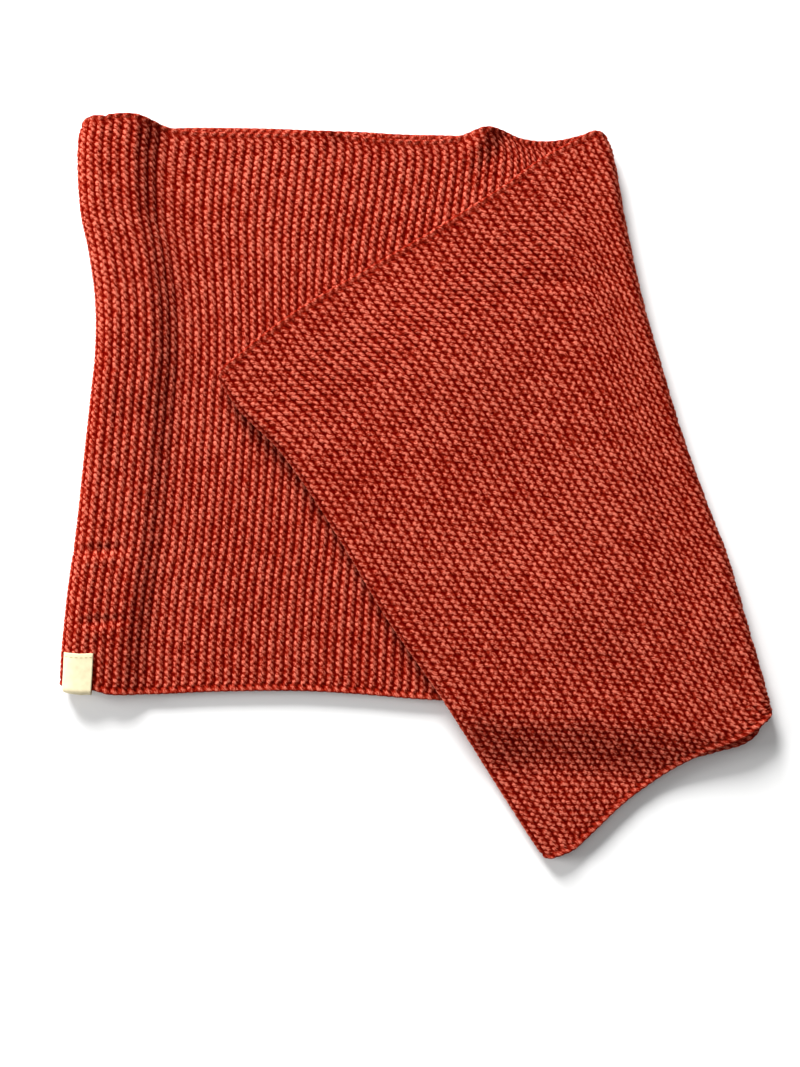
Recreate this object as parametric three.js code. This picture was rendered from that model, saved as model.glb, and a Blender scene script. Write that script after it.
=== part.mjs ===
// Infinity scarf in garter stitch, laid flat with one end turned over on the diagonal.
//
// One knitted strip, joined end to end, makes a closed loop. Pressed flat it is a band two
// layers thick, folded at both ends. Here its left end lies as it fell, in a soft roll, and
// its right end is turned over to the front, so the band is four layers thick where the
// turned stretch lies on the lower one, and two where it reaches past the lower long edge.
//
//   lower_back      the back layer of the lower stretch, flat on the table
//   lower_front     the front layer of the lower stretch, with the roll at the left end
//   turned_inside   the front layer after the turn, face down, with the inner diagonal bend
//   turned_outside  the back layer after the turn, face up, with the outer diagonal bend and
//                   the bend at the loop's right end
//   edge_tab        the folded cotton tape sewn over the lower long edge near the left end
//
// Units are millimetres. +Z is up and the cloth lies on Z = 0. +X runs along the lower
// stretch from its left end, and +Y across it towards its upper long edge. The origin is
// under the middle of the box round the scarf, to within a millimetre.
import * as THREE from 'three';

// Driving dimensions
const CLOTH = 3.4; // thickness of the garter-stitch cloth
const LAYER_GAP = 0.6; // air between two layers that lie on each other
const SEAM_GAP = 0.3; // between two pieces where one carries on from the other
const SEAM_LEAD = 2; // flat cloth that a bend keeps past its underside, up to the seam
const EDGE_BULGE = 1; // how far a rounded long edge stands out past its cut line
const BAND_WIDTH = 350; // across the band, from one long edge to the other
const BACK_INSET = { upper: 4, lower: 3 }; // the back layer's long edges at the left end
// How far each fold's outline is drawn in where it meets the upper and the lower long edge
const CORNERS = {
  left: { upper: 5, lower: 3 },
  diagonal: { upper: 3, lower: 4.5 },
  right: { upper: 2, lower: 2 },
};
// The left roll keeps its height but for a small share, and comes down over a slope
const LEFT_ROLL = { slope: 19, crownFall: 0.1 };
const DROP = { start: 5, reach: 40 }; // the turned stretch settles past the lower long edge
const RIGHT_ROLL = { half: 6, landing: 26 };
const TAB = { width: 17, front: 22, back: 14, fromEnd: 4.4, thickness: 0.5 };

const CLOTH_FINISH = { color: 0xb5402c, roughness: 0.95 };
const TAB_FINISH = { color: 0xf2e8c4, roughness: 0.85 };

// Mesh steps: stations across the band, and along it in each stretch of a section
const STEPS = { across: 22, bend: 8, crown: 4, slope: 5, front: 8, back: 5, turned: 17 };
const TAB_STEPS = { width: 6, front: 6, edge: 8, back: 3 };
const DIRECTION_SPAN = 0.08; // share of an outline over which its direction is taken
const CORNER_SHARE = 0.1; // share of a long edge over which it runs to its corner
const FADE_SHARE = 0.2; // share of the turned stretch over which its rises fade at each end

// Levels of the four layers, at the middle of each one's thickness
const LAYER_STEP = CLOTH + LAYER_GAP;
const BACK_LEVEL = CLOTH / 2;
const FRONT_LEVEL = BACK_LEVEL + LAYER_STEP;
const INSIDE_LEVEL = FRONT_LEVEL + LAYER_STEP;
const OUTSIDE_LEVEL = INSIDE_LEVEL + LAYER_STEP;
const OUTER_TURN = (OUTSIDE_LEVEL - BACK_LEVEL) / 2; // bend radius of the outer layer's middle
const INNER_TURN = (INSIDE_LEVEL - FRONT_LEVEL) / 2; // and of the inner layer's
const TURN_REACH = OUTER_TURN + CLOTH / 2; // from the diagonal fold's outline to its axis

// The left end, from the upper to the lower long edge: its outline in plan, the height and
// half width of its roll, and how far in the front layer comes down on the back layer.
const LEFT_END = [
  { x: -200, y: 227, rollHeight: 17.0, rollHalf: 13, landing: 51 },
  { x: -204, y: 211, rollHeight: 17.5, rollHalf: 13, landing: 51 },
  { x: -203, y: 168, rollHeight: 17.5, rollHalf: 13, landing: 51 },
  { x: -198, y: 143, rollHeight: 17.0, rollHalf: 12, landing: 52 },
  { x: -194, y: 113, rollHeight: 16.5, rollHalf: 12, landing: 52 },
  { x: -194, y: 83, rollHeight: 15.5, rollHalf: 12, landing: 53 },
  { x: -198, y: 46, rollHeight: 13.5, rollHalf: 11, landing: 54 },
  { x: -202, y: 10, rollHeight: 12.5, rollHalf: 11, landing: 55 },
  { x: -206, y: -27, rollHeight: 12.5, rollHalf: 11, landing: 55 },
  { x: -211, y: -64, rollHeight: 14.0, rollHalf: 11, landing: 55 },
  { x: -214.5, y: -98, rollHeight: 14.0, rollHalf: 11, landing: 54 },
  { x: -216, y: -121.5, rollHeight: 13.0, rollHalf: 11, landing: 54 },
];

// The long edges of the lower stretch, from the left roll to the diagonal fold. The back
// layer's upper edge shows as a narrow strip above the front layer's.
const UPPER_EDGE = [
  { x: -185, front: 224.5, back: 220 },
  { x: -175, front: 225, back: 219 },
  { x: -167, front: 224, back: 218 },
  { x: -159, front: 221, back: 217.5 },
  { x: -150, front: 217.5, back: 217.5 },
  { x: -138, front: 215.5, back: 218 },
  { x: -120, front: 214.5, back: 218 },
  { x: -88, front: 214, back: 217.5 },
  { x: -52, front: 215, back: 216 },
  { x: -33, front: 212, back: 215.5 },
  { x: -9, front: 210, back: 214 },
  { x: 15, front: 210, back: 213.5 },
  { x: 30, front: 213, back: 213 },
  { x: 43, front: 217, back: 212.5 },
  { x: 53, front: 215.5, back: 211.5 },
  { x: 65, front: 210.5, back: 210.5 },
  { x: 88, front: 208.5, back: 209.5 },
  { x: 105, front: 210.5, back: 211 },
];
const LOWER_EDGE = [
  { x: -203, y: -122 },
  { x: -194, y: -122 },
  { x: -185, y: -124.5 },
  { x: -160, y: -125 },
  { x: -124, y: -123.5 },
  { x: -70, y: -123 },
  { x: -33, y: -125 },
  { x: 3, y: -128 },
  { x: 64, y: -130.5 },
  { x: 136, y: -134.5 },
  { x: 180, y: -139 },
  { x: 208, y: -143.5 },
];

// The diagonal fold's outline, from the upper to the lower corner
const DIAGONAL_FOLD = [
  { x: 114.5, y: 217 },
  { x: 120, y: 203 },
  { x: 129, y: 155.5 },
  { x: 140, y: 107 },
  { x: 147, y: 83 },
  { x: 161.5, y: 34.5 },
  { x: 179, y: -14 },
  { x: 188.5, y: -38 },
  { x: 196, y: -62.5 },
  { x: 203, y: -87 },
  { x: 210, y: -111 },
  { x: 218, y: -140 },
];

// The turned stretch's long edges, from the diagonal fold to the loop's right end. The
// inside layer's lower edge stands out past the outside layer's by reach.
const TURNED_UPPER_EDGE = [
  { x: 107, y: 213.5 },
  { x: 94.5, y: 207 },
  { x: 76, y: 197 },
  { x: 56, y: 182.5 },
  { x: 36, y: 169.5 },
  { x: 5.5, y: 150.5 },
  { x: -31, y: 129.5 },
  { x: -70, y: 106.5 },
  { x: -99, y: 85.5 },
  { x: -115, y: 74 },
];
const TURNED_LOWER_EDGE = [
  { x: 210, y: -143, reach: 3 },
  { x: 199, y: -150, reach: 4 },
  { x: 189, y: -154.5, reach: 2.5 },
  { x: 175, y: -160, reach: 0.5 },
  { x: 157, y: -169.5, reach: -1 },
  { x: 142, y: -179.5, reach: -1.5 },
  { x: 126, y: -191.5, reach: -1.5 },
  { x: 109, y: -207.5, reach: -1.5 },
  { x: 95, y: -220.5, reach: -1.5 },
  { x: 87, y: -225, reach: -1.5 },
];

// The loop's right end, from the upper to the lower corner, and the height of its roll
const RIGHT_END = [
  { x: -121, y: 68, rollHeight: 11.5 },
  { x: -108, y: 47.5, rollHeight: 11.5 },
  { x: -82, y: 21, rollHeight: 11 },
  { x: -63, y: -5.5, rollHeight: 11 },
  { x: -43, y: -37, rollHeight: 11.5 },
  { x: -18, y: -79, rollHeight: 11.5 },
  { x: 15, y: -127, rollHeight: 11 },
  { x: 50.5, y: -183.5, rollHeight: 10.5 },
  { x: 74, y: -220, rollHeight: 10 },
  { x: 80, y: -228, rollHeight: 9.5 },
];

// Soft rises in the cloth: middle, half sizes along and across a bearing in degrees, height
const LOWER_RISES = [
  { x: 45, y: 222, along: 36, across: 14, bearing: -115, height: 5.5 },
  { x: -52, y: 222, along: 22, across: 12, bearing: -95, height: 2.2 },
];
const TURNED_RISES = [
  { x: 20, y: 80, along: 90, across: 55, bearing: -58, height: 2.4 },
  { x: 150, y: 60, along: 60, across: 26, bearing: -72, height: 1.6 },
  { x: 95, y: -70, along: 60, across: 30, bearing: -52, height: 2.0 },
  { x: 180, y: -85, along: 30, across: 18, bearing: -70, height: 1.8 },
  { x: 95, y: -185, along: 40, across: 22, bearing: -58, height: 1.5 },
];

const UP = new THREE.Vector3(0, 0, 1);
const mix = THREE.MathUtils.lerp;
const ease = (share) => THREE.MathUtils.smoothstep(share, 0, 1);
const evenSteps = (count) => Array.from({ length: count + 1 }, (_, step) => step / count);

/** A smooth curve in plan through a table's rows, taken by its share of the way along. */
function outline(rows, yColumn = 'y') {
  const points = rows.map((row) => new THREE.Vector3(row.x, row[yColumn], 0));
  const curve = new THREE.CatmullRomCurve3(points);
  return (share) => curve.getPointAt(THREE.MathUtils.clamp(share, 0, 1));
}

/** The value of one column at a share of the way down a table, eased between its rows. */
function column(rows, name, share) {
  const place = share * (rows.length - 1);
  const row = Math.min(Math.floor(place), rows.length - 2);
  return mix(rows[row][name], rows[row + 1][name], ease(place - row));
}

/** The horizontal unit vector to the right of an outline's direction of travel. */
function rightOf(curve, share) {
  const travel = curve(share + DIRECTION_SPAN / 2).sub(curve(share - DIRECTION_SPAN / 2));
  return travel.cross(UP).normalize();
}

/**
 * The way from a bend's axis to its outline, on the outline's right (side 1) or left (-1).
 * At the long edges it leans in along the outline, by a share of the bend's half width.
 */
function wayOut(curve, across, side, corner, half) {
  const right = rightOf(curve, across);
  const travel = UP.clone().cross(right);
  const upper = corner.upper * ease(1 - across * STEPS.across);
  const lower = corner.lower * ease(1 - (1 - across) * STEPS.across);
  return right.multiplyScalar(side).addScaledVector(travel, (upper - lower) / half);
}

/** An outline moved to its right by a distance that may change along it. */
function offset(curve, distanceAt) {
  return (share) => curve(share).addScaledVector(rightOf(curve, share), distanceAt(share));
}

/**
 * A plan patch between four outlines: upper and lower run along the band, start and end
 * across it from the upper edge to the lower one. Start and end are kept exactly, and the
 * long edges run to their corners over a short share of the way.
 */
function patch(upper, lower, start, end) {
  const toCorners = (line, first, last) => (along) => {
    const point = line(along);
    point.addScaledVector(first.clone().sub(line(0)), ease(1 - along / CORNER_SHARE));
    return point.addScaledVector(last.clone().sub(line(1)), ease(1 - (1 - along) / CORNER_SHARE));
  };
  const bow = (line, across) => line(across).sub(line(0).lerp(line(1), across));
  const upperEdge = toCorners(upper, start(0), end(0));
  const lowerEdge = toCorners(lower, start(1), end(1));
  return (along, across) => {
    const point = upperEdge(along).lerp(lowerEdge(along), across);
    return point.add(bow(start, across).lerp(bow(end, across), along));
  };
}

/** The height that a table of soft rises adds at a plan point. */
function rise(rows, point) {
  return rows.reduce((height, row) => {
    const fromMiddle = new THREE.Vector2(point.x - row.x, point.y - row.y);
    fromMiddle.rotateAround(new THREE.Vector2(), -THREE.MathUtils.degToRad(row.bearing));
    fromMiddle.divide(new THREE.Vector2(row.along, row.across));
    return height + row.height * ease(1 - fromMiddle.length());
  }, 0);
}

const leftEnd = outline(LEFT_END);
const diagonal = outline(DIAGONAL_FOLD);
const rightEnd = outline(RIGHT_END);
const frontUpper = outline(UPPER_EDGE, 'front');
const frontLower = outline(LOWER_EDGE);
const backUpper = outline(UPPER_EDGE, 'back');
const backLower = (share) => frontLower(share).add(new THREE.Vector3(0, BACK_INSET.lower, 0));
const turnedUpper = outline(TURNED_UPPER_EDGE);
const turnedLower = outline(TURNED_LOWER_EDGE);

// Each bend turns about a line inside its outline. The outlines run from the upper to the
// lower long edge, so the band lies to the right of the diagonal and to the left of the ends.
const leftReach = (share) => column(LEFT_END, 'rollHalf', share) + CLOTH / 2;
const rightReach = RIGHT_ROLL.half + CLOTH / 2;
const leftAxis = offset(leftEnd, (share) => -leftReach(share));
const foldAxis = offset(diagonal, () => TURN_REACH);
const foldSeam = offset(diagonal, () => TURN_REACH + SEAM_LEAD + SEAM_GAP);
const rightAxis = offset(rightEnd, () => -rightReach);

/** The y of the lower stretch's lower long edge at a plan x. */
function lowerEdgeY(x) {
  const last = LOWER_EDGE.length - 1;
  const next = LOWER_EDGE.findIndex((row, index) => index === last || (index > 0 && row.x > x));
  const [before, after] = [LOWER_EDGE[next - 1], LOWER_EDGE[next]];
  return THREE.MathUtils.mapLinear(x, before.x, after.x, before.y, after.y);
}

/** The middle level of the turned stretch's inside layer, on the lower stretch or the table. */
function insideLevel(point) {
  const past = lowerEdgeY(point.x) - point.y - DROP.start;
  return mix(INSIDE_LEVEL, BACK_LEVEL, ease(past / DROP.reach));
}

/**
 * The points round a bend, from the seam under it, round the outline, to its top: half an
 * ellipse about the axis point. out points from the axis to the outline.
 */
function bend(axis, out, half, bottom, top) {
  const arc = evenSteps(STEPS.bend).map((share) => {
    const turn = Math.PI * (share - 0.5);
    const height = mix(bottom, top, (1 + Math.sin(turn)) / 2);
    return axis.clone().addScaledVector(out, half * Math.cos(turn)).setZ(height);
  });
  return [axis.clone().addScaledVector(out, -SEAM_LEAD).setZ(bottom), ...arc];
}

/** How far a layer beside a roll has come down, from 0 on its top to 1 at the landing. */
function fallen(distance, reach, landing) {
  return ease((distance - reach) / (landing - reach));
}

/** The lower front layer's section at a share of the way across the band. */
function lowerFrontSection(across) {
  const plan = patch(frontUpper, frontLower, leftAxis, foldSeam);
  const axis = plan(0, across);
  const reach = leftReach(across);
  const landing = column(LEFT_END, 'landing', across);
  const rollTop = column(LEFT_END, 'rollHeight', across) - CLOTH / 2;
  const half = reach - CLOTH / 2;
  const out = wayOut(leftEnd, across, 1, CORNERS.left, half);
  const roll = bend(axis, out, half, BACK_LEVEL, rollTop);
  const length = axis.distanceTo(plan(1, across));
  const brink = landing - LEFT_ROLL.slope;
  const between = (steps, from, to) => evenSteps(steps).slice(1).map((share) => mix(from, to, share));
  const distances = [
    ...between(STEPS.crown, reach, brink),
    ...between(STEPS.slope, brink, landing),
    ...between(STEPS.front, landing, reach + length),
  ];
  const top = distances.map((distance) => {
    const point = plan((distance - reach) / length, across);
    const slope = fallen(distance, brink, landing);
    const down = mix(slope, fallen(distance, reach, landing), LEFT_ROLL.crownFall);
    return point.setZ(mix(rollTop, FRONT_LEVEL, down) + rise(LOWER_RISES, point));
  });
  return [...roll, ...top];
}

/** The lower back layer's section, flat on the table. */
function lowerBackSection(across) {
  const fromOutline = (share) => -(leftReach(share) + SEAM_LEAD + SEAM_GAP);
  const upperShare = BACK_INSET.upper / BAND_WIDTH;
  const lowerShare = 1 - BACK_INSET.lower / BAND_WIDTH;
  const start = (share) => offset(leftEnd, fromOutline)(mix(upperShare, lowerShare, share));
  const plan = patch(backUpper, backLower, start, foldSeam);
  return evenSteps(STEPS.back).map((share) => plan(share, across).setZ(BACK_LEVEL));
}

const turnedPlan = patch(turnedUpper, turnedLower, foldAxis, rightAxis);

/** The plan points of the turned stretch between its two bends. */
function turnedPoints(across) {
  return evenSteps(STEPS.turned).map((share) => turnedPlan(share, across));
}

/** The turned stretch's inside layer: its section, from the inner bend of the diagonal. */
function turnedInsideSection(across) {
  const out = rightOf(diagonal, across).negate();
  const turn = bend(foldAxis(across), out, INNER_TURN, FRONT_LEVEL, INSIDE_LEVEL);
  const points = turnedPoints(across);
  const seamBack = rightOf(rightEnd, across).multiplyScalar(-(SEAM_LEAD + SEAM_GAP));
  points[points.length - 1].add(seamBack);
  if (across === 1) {
    points.forEach((point, index) => {
      const share = index / STEPS.turned;
      const reach = column(TURNED_LOWER_EDGE, 'reach', share) * ease(index);
      point.addScaledVector(rightOf(turnedLower, share), -reach);
    });
  }
  return [...turn, ...points.slice(1).map((point) => point.setZ(insideLevel(point)))];
}

/** The turned stretch's outside layer: its section, from one outer bend to the other. */
function turnedOutsideSection(across) {
  const out = wayOut(diagonal, across, -1, CORNERS.diagonal, OUTER_TURN);
  const turn = bend(foldAxis(across), out, OUTER_TURN, BACK_LEVEL, OUTSIDE_LEVEL);
  const points = turnedPoints(across);
  const end = points[points.length - 1];
  const length = points[0].distanceTo(end);
  const rollTop = column(RIGHT_END, 'rollHeight', across) - CLOTH;
  const top = points.slice(1).map((point, index) => {
    const share = (index + 1) / STEPS.turned;
    const fromOutline = rightReach + (1 - share) * length;
    const step = mix(rollTop, LAYER_STEP, fallen(fromOutline, rightReach, RIGHT_ROLL.landing));
    const fade = ease(share / FADE_SHARE) * ease((1 - share) / FADE_SHARE);
    return point.clone().setZ(insideLevel(point) + step + rise(TURNED_RISES, point) * fade);
  });
  const endOut = wayOut(rightEnd, across, 1, CORNERS.right, RIGHT_ROLL.half);
  const endBend = bend(end, endOut, RIGHT_ROLL.half, 0, rollTop);
  const under = endBend.map((point) => point.setZ(point.z + insideLevel(point)));
  return [...turn, ...top, ...under.reverse().slice(1)];
}

/** A layer's sheet: its sections at even stations across the band. */
function layerSheet(section) {
  return evenSteps(STEPS.across).map(section);
}

/** The unit normals of a sheet of points, by rows and columns. */
function sheetNormals(sheet) {
  return sheet.map((row, i) =>
    row.map((_, j) => {
      const above = sheet[Math.max(i - 1, 0)][j];
      const down = sheet[Math.min(i + 1, sheet.length - 1)][j].clone().sub(above);
      const along = row[Math.min(j + 1, row.length - 1)].clone().sub(row[Math.max(j - 1, 0)]);
      return down.cross(along).normalize();
    }),
  );
}

/** The rim of a sheet in order round it: each point's row and column, and its way inwards. */
function rimOf(rows, columns) {
  const rim = [];
  for (let j = 0; j < columns - 1; j += 1) rim.push({ i: 0, j, di: 1, dj: 0 });
  for (let i = 0; i < rows - 1; i += 1) rim.push({ i, j: columns - 1, di: 0, dj: -1 });
  for (let j = columns - 1; j > 0; j -= 1) rim.push({ i: rows - 1, j, di: -1, dj: 0 });
  for (let i = rows - 1; i > 0; i -= 1) rim.push({ i, j: 0, di: 0, dj: 1 });
  return rim;
}

/** A closed wall of even thickness about a sheet; its long edges bulge out past their line. */
function wallGeometry(sheet, thickness, bulge) {
  const positions = [];
  const put = (point) => positions.push(...point.toArray()) / 3 - 1;
  const normals = sheetNormals(sheet);
  const face = (side) =>
    sheet.map((row, i) =>
      row.map((point, j) => put(point.clone().addScaledVector(normals[i][j], (side * thickness) / 2))),
    );
  const outer = face(1);
  const inner = face(-1);
  const rim = rimOf(sheet.length, sheet[0].length);
  const middle = rim.map(({ i, j, di, dj }) => {
    const inwards = sheet[i + di][j + dj].clone().sub(sheet[i][j]).normalize();
    return put(sheet[i][j].clone().addScaledVector(inwards, di === 0 ? 0 : -bulge));
  });

  const triangles = [];
  const quad = (a, b, c, d) => triangles.push(a, b, c, a, c, d);
  for (let i = 0; i < sheet.length - 1; i += 1) {
    for (let j = 0; j < sheet[0].length - 1; j += 1) {
      quad(outer[i][j], outer[i + 1][j], outer[i + 1][j + 1], outer[i][j + 1]);
      quad(inner[i][j], inner[i][j + 1], inner[i + 1][j + 1], inner[i + 1][j]);
    }
  }
  rim.forEach(({ i, j }, index) => {
    const next = (index + 1) % rim.length;
    const { i: nextI, j: nextJ } = rim[next];
    quad(outer[i][j], outer[nextI][nextJ], middle[next], middle[index]);
    quad(middle[index], middle[next], inner[nextI][nextJ], inner[i][j]);
  });

  const geometry = new THREE.BufferGeometry();
  geometry.setAttribute('position', new THREE.Float32BufferAttribute(positions, 3));
  geometry.setIndex(triangles);
  geometry.computeVertexNormals();
  return geometry;
}

/** The middle of the lower front layer at a distance from the left end's outline. */
function frontAt(across, distance) {
  const outlinePoint = 1 + STEPS.bend / 2;
  const follow = (share) => {
    const curve = new THREE.CatmullRomCurve3(lowerFrontSection(share).slice(outlinePoint));
    const place = distance / curve.getLength();
    return { point: curve.getPointAt(place), along: curve.getTangentAt(place) };
  };
  const { point, along } = follow(across);
  const down = point.clone().sub(follow(across - 1 / STEPS.across).point).normalize();
  return { point, down, normal: down.clone().cross(along).normalize() };
}

/** The folded tape's sheet: down the front, round the lower long edge and up inside. */
function tabSheet() {
  const clear = (CLOTH + TAB.thickness) / 2 + SEAM_GAP;
  const distances = evenSteps(TAB_STEPS.width).map((share) => TAB.fromEnd + share * TAB.width);
  const leg = (fromEdge, side) =>
    distances.map((distance) => {
      const { point, normal } = frontAt(1 - fromEdge / BAND_WIDTH, distance);
      return point.addScaledVector(normal, side * clear);
    });
  const roundEdge = (turn) =>
    distances.map((distance) => {
      const { point, down, normal } = frontAt(1, distance);
      point.addScaledVector(down, (clear + EDGE_BULGE) * Math.cos(turn));
      return point.addScaledVector(normal, clear * Math.sin(turn));
    });
  const front = evenSteps(TAB_STEPS.front).map((share) => leg(TAB.front * (1 - share), 1));
  const turns = evenSteps(TAB_STEPS.edge).map((share) => Math.PI * (0.5 - share)).slice(1, -1);
  const back = evenSteps(TAB_STEPS.back).map((share) => leg(TAB.back * share, -1));
  return [...front, ...turns.map(roundEdge), ...back];
}

/** One named piece with its own matt finish. */
function piece(name, geometry, finish) {
  const mesh = new THREE.Mesh(geometry, new THREE.MeshStandardMaterial({ ...finish, metalness: 0 }));
  mesh.name = name;
  return mesh;
}

const group = new THREE.Group();
group.name = 'infinity_scarf';

const LAYERS = {
  lower_back: lowerBackSection,
  lower_front: lowerFrontSection,
  turned_inside: turnedInsideSection,
  turned_outside: turnedOutsideSection,
};
for (const [name, section] of Object.entries(LAYERS)) {
  group.add(piece(name, wallGeometry(layerSheet(section), CLOTH, EDGE_BULGE), CLOTH_FINISH));
}
group.add(piece('edge_tab', wallGeometry(tabSheet(), TAB.thickness, 0), TAB_FINISH));

export default group;
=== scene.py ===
"""Garter-stitch infinity scarf, laid flat with one end turned over on the diagonal.

Each layer is cut flat with one face to a stitch, made finer where it shows, and then laid on
the form of its solid with its stitches raised. Tables and sizes are in millimetres, and the
finished pieces in metres. +X runs along the lower stretch and +Y across it, and +Z is up.
"""

import logging
import math
from abc import ABC, abstractmethod
from dataclasses import dataclass
from enum import Enum
from typing import Callable, NamedTuple, Sequence

import bmesh
import bpy
import numpy as np
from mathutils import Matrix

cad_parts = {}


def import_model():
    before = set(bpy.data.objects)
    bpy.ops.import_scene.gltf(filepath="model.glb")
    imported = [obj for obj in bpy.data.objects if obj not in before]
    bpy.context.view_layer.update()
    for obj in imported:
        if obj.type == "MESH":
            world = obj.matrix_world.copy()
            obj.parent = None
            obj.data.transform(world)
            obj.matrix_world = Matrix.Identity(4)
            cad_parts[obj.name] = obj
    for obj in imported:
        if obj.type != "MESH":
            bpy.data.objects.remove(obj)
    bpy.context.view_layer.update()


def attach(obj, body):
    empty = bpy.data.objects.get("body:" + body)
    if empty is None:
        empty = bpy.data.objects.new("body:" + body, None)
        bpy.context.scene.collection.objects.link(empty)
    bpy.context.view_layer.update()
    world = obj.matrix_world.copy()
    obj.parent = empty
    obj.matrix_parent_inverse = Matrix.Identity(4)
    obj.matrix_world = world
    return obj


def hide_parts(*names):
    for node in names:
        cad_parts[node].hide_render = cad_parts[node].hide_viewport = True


log = logging.getLogger("scarf")

MM = 0.001
Array = np.ndarray


# The band's sizes and outlines, as in the solids

@dataclass(frozen=True)
class BandSizes:
    """Sizes of the cloth and of its bends, in millimetres."""

    cloth: float = 3.4
    layer_gap: float = 0.6
    seam_gap: float = 0.3
    seam_lead: float = 2.0
    edge_bulge: float = 1.0
    width: float = 350.0
    back_inset_upper: float = 4.0
    back_inset_lower: float = 3.0
    drop_start: float = 5.0
    drop_reach: float = 40.0
    right_half: float = 6.0
    right_landing: float = 26.0
    corner_span: float = 16.0
    corner_ease: float = 0.15
    direction_span: float = 0.08
    corner_share: float = 0.1
    fade_share: float = 0.2

    @property
    def layer_step(self) -> float:
        """From the middle of one layer to the middle of the next."""
        return self.cloth + self.layer_gap

    def level(self, layer: int) -> float:
        """The height of a layer's middle, counted from the table."""
        return self.cloth / 2 + layer * self.layer_step


BAND = BandSizes()


class Layer(Enum):
    """The four layers, from the table up."""

    BACK = 0
    FRONT = 1
    INSIDE = 2
    OUTSIDE = 3

    @property
    def level(self) -> float:
        """The height of the layer's middle."""
        return BAND.level(self.value)


class CornerPull(NamedTuple):
    """How far an outline is drawn in at the upper and at the lower long edge."""

    upper: float
    lower: float


LEFT_CORNERS = CornerPull(8, 2.5)
DIAGONAL_CORNERS = CornerPull(7, 7)
RIGHT_CORNERS = CornerPull(4, 4)


class LeftRow(NamedTuple):
    """A row of the left end: its outline, its roll, and where the front layer lands."""

    x: float
    y: float
    roll_height: float
    roll_half: float
    landing: float


LEFT_END = (
    LeftRow(-200, 227, 17.0, 13, 51),
    LeftRow(-204, 211, 17.5, 13, 51),
    LeftRow(-203, 168, 17.5, 13, 51),
    LeftRow(-198, 143, 17.0, 12, 52),
    LeftRow(-194, 113, 16.5, 12, 52),
    LeftRow(-194, 83, 15.5, 12, 53),
    LeftRow(-198, 46, 13.5, 11, 54),
    LeftRow(-202, 10, 12.5, 11, 55),
    LeftRow(-206, -27, 12.5, 11, 55),
    LeftRow(-211, -64, 14.0, 11, 55),
    LeftRow(-214.5, -98, 14.0, 11, 54),
    LeftRow(-216, -121.5, 13.0, 11, 54),
)


class UpperRow(NamedTuple):
    """A row of the lower stretch's upper long edges, on the front and the back layer."""

    x: float
    front: float
    back: float


UPPER_EDGE = (
    UpperRow(-185, 224.5, 220),
    UpperRow(-175, 225, 219),
    UpperRow(-167, 224, 218),
    UpperRow(-159, 221, 217.5),
    UpperRow(-150, 217.5, 217.5),
    UpperRow(-138, 215.5, 218),
    UpperRow(-120, 214.5, 218),
    UpperRow(-88, 214, 217.5),
    UpperRow(-52, 215, 216),
    UpperRow(-33, 212, 215.5),
    UpperRow(-9, 210, 214),
    UpperRow(15, 210, 213.5),
    UpperRow(30, 213, 213),
    UpperRow(43, 217, 212.5),
    UpperRow(53, 215.5, 211.5),
    UpperRow(65, 210.5, 210.5),
    UpperRow(88, 208.5, 209.5),
    UpperRow(105, 210.5, 211),
)


class PlanRow(NamedTuple):
    """A point of an outline in plan."""

    x: float
    y: float


LOWER_EDGE = (
    PlanRow(-203, -122), PlanRow(-194, -122), PlanRow(-185, -124.5),
    PlanRow(-160, -125), PlanRow(-124, -123.5), PlanRow(-70, -123),
    PlanRow(-33, -125), PlanRow(3, -128), PlanRow(64, -130.5),
    PlanRow(136, -134.5), PlanRow(180, -139), PlanRow(208, -143.5),
)
DIAGONAL_FOLD = (
    PlanRow(114.5, 217), PlanRow(120, 203), PlanRow(129, 155.5),
    PlanRow(140, 107), PlanRow(147, 83), PlanRow(161.5, 34.5),
    PlanRow(179, -14), PlanRow(188.5, -38), PlanRow(196, -62.5),
    PlanRow(203, -87), PlanRow(210, -111), PlanRow(218, -140),
)
TURNED_UPPER_EDGE = (
    PlanRow(107, 213.5), PlanRow(94.5, 207), PlanRow(76, 197), PlanRow(56, 182.5),
    PlanRow(36, 169.5), PlanRow(5.5, 150.5), PlanRow(-31, 129.5),
    PlanRow(-70, 106.5), PlanRow(-99, 85.5), PlanRow(-115, 74),
)


class ReachRow(NamedTuple):
    """A point of the turned stretch's lower edge, and how far the inside layer reaches past."""

    x: float
    y: float
    reach: float


TURNED_LOWER_EDGE = (
    ReachRow(210, -143, 3), ReachRow(199, -150, 4), ReachRow(189, -154.5, 2.5),
    ReachRow(175, -160, 0.5), ReachRow(157, -169.5, -1), ReachRow(142, -179.5, -1.5),
    ReachRow(126, -191.5, -1.5), ReachRow(109, -207.5, -1.5),
    ReachRow(95, -220.5, -1.5), ReachRow(87, -225, -1.5),
)


class RightRow(NamedTuple):
    """A row of the loop's right end: its outline and the height of its roll."""

    x: float
    y: float
    roll_height: float


RIGHT_END = (
    RightRow(-121, 68, 11.5), RightRow(-108, 47.5, 11.5), RightRow(-82, 21, 11),
    RightRow(-63, -5.5, 11), RightRow(-43, -37, 11.5), RightRow(-18, -79, 11.5),
    RightRow(15, -127, 11), RightRow(50.5, -183.5, 10.5), RightRow(74, -220, 10),
    RightRow(80, -228, 9.5),
)


class Swell(NamedTuple):
    """A soft rise in the cloth, or a trough where its height is below zero.

    Its half sizes lie along and across a bearing in degrees.
    """

    x: float
    y: float
    along: float
    across: float
    bearing: float
    height: float


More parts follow.
